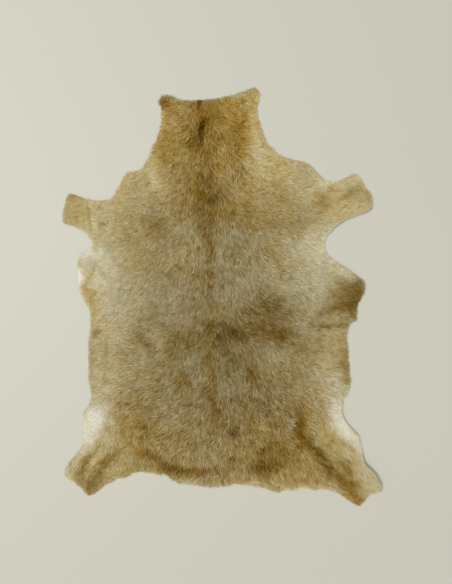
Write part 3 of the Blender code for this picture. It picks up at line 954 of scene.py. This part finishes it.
wide = LOCK_WIDTH / 2 * varied(spread=0.2, least=0.5, most=1.6)
wide *= RIM_LOCK_SHARE + (1 - RIM_LOCK_SHARE) * np.clip(depth / RIM_BAND, 0, 1)
points = np.zeros((count, len(lock_points), 3))
maps = np.zeros((count, len(lock_points), 2))
band = np.minimum((warmth * BANDS).astype(int), BANDS - 1)
roll = per_lock(LOCK_ROLL) * np.clip(rough, *ROLL_LIMITS)
for k, (across, along, _) in enumerate(lock_points):
    row = int(round(along * (ROWS - 1)))
    px, py, turned = row_places(along)
    ground, thick = coat_heights(px, py)
    raised = np.maximum(thick * HIGH_AT[row] * height, HAIR_LEAST if row else ROOT_LEAST)
    points[:, k, 0] = px - np.sin(turned) * across * wide
    points[:, k, 1] = py + np.cos(turned) * across * wide
    points[:, k, 2] = ground + raised + across * roll * wide
    maps[:, k, 0] = tone + across * EDGE_TONE * (1 - along)
    maps[:, k, 1] = (band + BAND_MARGIN + (1 - 2 * BAND_MARGIN) * along) / BANDS

# The hair colours run from black brown to white, once golden and once greyish. A hair is multiplied by a
# painted shade at its root, which fades out towards its tip: the roots lie deep in the coat, where shade
# falls.
PAINTED_ROOT_SHADE = "c8b690"
GOLDEN = (
    (0.0, "140902"),
    (0.2, "412a06"),
    (0.4, "7c5c13"),
    (0.5, "9a7931"),
    (0.6, "b09a59"),
    (0.8, "d3c69c"),
    (1.0, "e9e2c4"),
)
GREYISH = (
    (0.0, "130b04"),
    (0.2, "3d2d10"),
    (0.4, "725e2c"),
    (0.6, "a69c76"),
    (0.8, "ccc8b0"),
    (1.0, "e4e4da"),
)
MIX_A, MIX_B, MIX_RESULT = 6, 7, 2  # the sockets that a Mix node has for colours


def hair_material():
    """Goat guard hair: keratin, smooth and fairly coarse, with a soft dull gloss. Its root is painted darker
    than its tip, as shade deep in the coat. The bake map holds a hair's tone from left to right, and upwards
    one band of root to tip for each step of warmth."""
    material, tree, shader = new_material("goat guard hair")
    spot = add_node(tree, "ShaderNodeUVMap", {"uv_map": "OFBake"})
    split = add_node(tree, "ShaderNodeSeparateXYZ", Vector=spot.outputs["UV"])
    rows = add_node(tree, "ShaderNodeMath", {"operation": "MULTIPLY"}, n0=split.outputs["Y"], n1=float(BANDS))
    step = add_node(tree, "ShaderNodeMath", {"operation": "FLOOR"}, n0=rows.outputs[0])
    along = add_node(tree, "ShaderNodeMath", {"operation": "FRACT"}, n0=rows.outputs[0])
    warm = add_node(
        tree, "ShaderNodeMath", {"operation": "DIVIDE"}, n0=step.outputs[0], n1=float(BANDS - 1)
    )
    ramps = []
    for stops in (GREYISH, GOLDEN):
        ramp = add_node(tree, "ShaderNodeValToRGB", Fac=split.outputs["X"])
        set_ramp(ramp, stops)
        ramps.append(ramp.outputs["Color"])
    hue = add_node(tree, "ShaderNodeMix", {"data_type": "RGBA"}, Factor=warm.outputs[0])
    tree.links.new(ramps[0], hue.inputs[MIX_A])
    tree.links.new(ramps[1], hue.inputs[MIX_B])
    # painted shade: darkens each hair at its root and fades out towards its tip
    shade = add_node(tree, "ShaderNodeValToRGB", Fac=along.outputs[0])
    set_ramp(shade, [(0.1, PAINTED_ROOT_SHADE), (0.75, "ffffff")])
    final = add_node(tree, "ShaderNodeMix", {"data_type": "RGBA", "blend_type": "MULTIPLY"}, Factor=1.0)
    tree.links.new(hue.outputs[MIX_RESULT], final.inputs[MIX_A])
    tree.links.new(shade.outputs["Color"], final.inputs[MIX_B])
    tree.links.new(final.outputs[MIX_RESULT], shader.inputs["Base Color"])
    shader.inputs["Roughness"].default_value = 0.55
    shader.inputs["IOR"].default_value = 1.55
    shader.inputs["Specular IOR Level"].default_value = 0.02
    return material


# The coat is made in nine pieces, so that none gets too heavy: the neck, and four parts that are each cut in
# two along the spine. Columns: part, the y of its rear end and of its front end in mm.
NECK_FROM = 380
PARTS = (("shoulder", 200, NECK_FROM), ("ribs", -30, 200), ("loin", -300, -30), ("rump", -700, -300))
regions = [("coat_neck", y > NECK_FROM * MM)]
for part, rear, front in PARTS:
    between = (y > rear * MM) & (y <= front * MM)
    regions += [(f"coat_{part}_left", between & (x < 0)), (f"coat_{part}_right", between & (x >= 0))]


def joined_locks(name, chosen, material):
    """All the locks of one region as one piece."""
    mesh = bpy.data.meshes.new(name)
    many = len(chosen)
    starts = np.arange(many)[:, None] * len(lock_points)
    corners = np.concatenate([np.array(f)[None, :] + starts for f in lock_faces], axis=1)
    sizes = np.tile([len(f) for f in lock_faces], many)
    mesh.vertices.add(many * len(lock_points))
    mesh.vertices.foreach_set("co", points[chosen].ravel())
    mesh.loops.add(corners.size)
    mesh.loops.foreach_set("vertex_index", corners.ravel())
    mesh.polygons.add(sizes.size)
    mesh.polygons.foreach_set("loop_start", np.concatenate([[0], np.cumsum(sizes)[:-1]]))
    mesh.polygons.foreach_set("loop_total", sizes)
    mesh.update(calc_edges=True)
    uv = mesh.uv_layers.new(name="OFBake")
    uv.uv.foreach_set("vector", maps[chosen].reshape(-1, 2)[corners.ravel()].ravel())
    mesh.shade_smooth()
    return new_piece(mesh, material)


guard_hair = hair_material()
coats = [joined_locks(name, np.nonzero(where)[0], guard_hair) for name, where in regions]


# The floor, the light and the camera
# A plain pale floor and soft studio light from the upper left. The camera looks almost straight down from
# 1 m above the hide, a little to the right of its middle, as the photograph was taken.
FLOOR = "b1b0a4"
FLOOR_HALF = 6  # metres from its middle to its edge
FLOOR_DROP = 0.2 * MM  # how far it lies below the hide, so the two don't share a plane
SKY = "f4f2ea"
SKY_STRENGTH = 0.56
PHOTO_HIGH = 584
FOCAL_PX = 338
AXIS_LEFT_PX = 3.5  # how far the camera's axis is left of the photograph's middle
SENSOR = 36
CAMERA_PLACE = (0.148, 0.080, 1.005)
CAMERA_TURNS = ((-1.4, "Z"), (-2.94, "X"), (6.11, "Y"), (0.39, "Z"))  # degrees, one after the other

floor_mesh = bmesh.new()
bmesh.ops.create_grid(floor_mesh, x_segments=1, y_segments=1, size=FLOOR_HALF)
bmesh.ops.translate(floor_mesh, verts=floor_mesh.verts, vec=(0, 0, -FLOOR_DROP))
floor_data = bpy.data.meshes.new("floor")
floor_mesh.to_mesh(floor_data)
floor_mesh.free()
floor_material, _, floor_shader = new_material("plain pale floor")
floor_shader.inputs["Base Color"].default_value = linear(FLOOR)
floor_shader.inputs["Roughness"].default_value = 0.7
floor_data.materials.append(floor_material)
floor = bpy.data.objects.new("floor", floor_data)
bpy.context.scene.collection.objects.link(floor)


def soft_light(name, place, aim, size, power):
    """A round softbox, with its width in metres and its power in watts."""
    lamp = bpy.data.lights.new(name, "AREA")
    lamp.shape = "DISK"
    lamp.size = size
    lamp.energy = power
    holder = bpy.data.objects.new(name, lamp)
    holder.location = place
    holder.rotation_euler = (Vector(aim) - Vector(place)).to_track_quat("-Z", "Y").to_euler()
    bpy.context.scene.collection.objects.link(holder)


soft_light("key softbox", place=(-4.6, 1.2, 6.8), aim=(0, 0, 0), size=2.6, power=600)
soft_light("fill softbox", place=(3.0, -1.4, 4.5), aim=(0, 0, 0), size=3.0, power=70)

world = bpy.data.worlds.new("studio")
bpy.context.scene.world = world
world.use_nodes = True
world.node_tree.nodes["Background"].inputs["Color"].default_value = linear(SKY)
world.node_tree.nodes["Background"].inputs["Strength"].default_value = SKY_STRENGTH
bpy.context.scene.view_settings.view_transform = "Standard"

camera = bpy.data.cameras.new("camera")
camera.sensor_width = SENSOR
camera.lens = FOCAL_PX * SENSOR / PHOTO_HIGH
camera.shift_x = AXIS_LEFT_PX / PHOTO_HIGH
camera.clip_start = 0.01
viewer = bpy.data.objects.new("camera", camera)
viewer.location = CAMERA_PLACE
gaze = Matrix.Identity(3)
for degrees, axis in CAMERA_TURNS:
    gaze = gaze @ Matrix.Rotation(math.radians(degrees), 3, axis)
viewer.rotation_euler = gaze.to_euler()
bpy.context.scene.collection.objects.link(viewer)
bpy.context.scene.camera = viewer
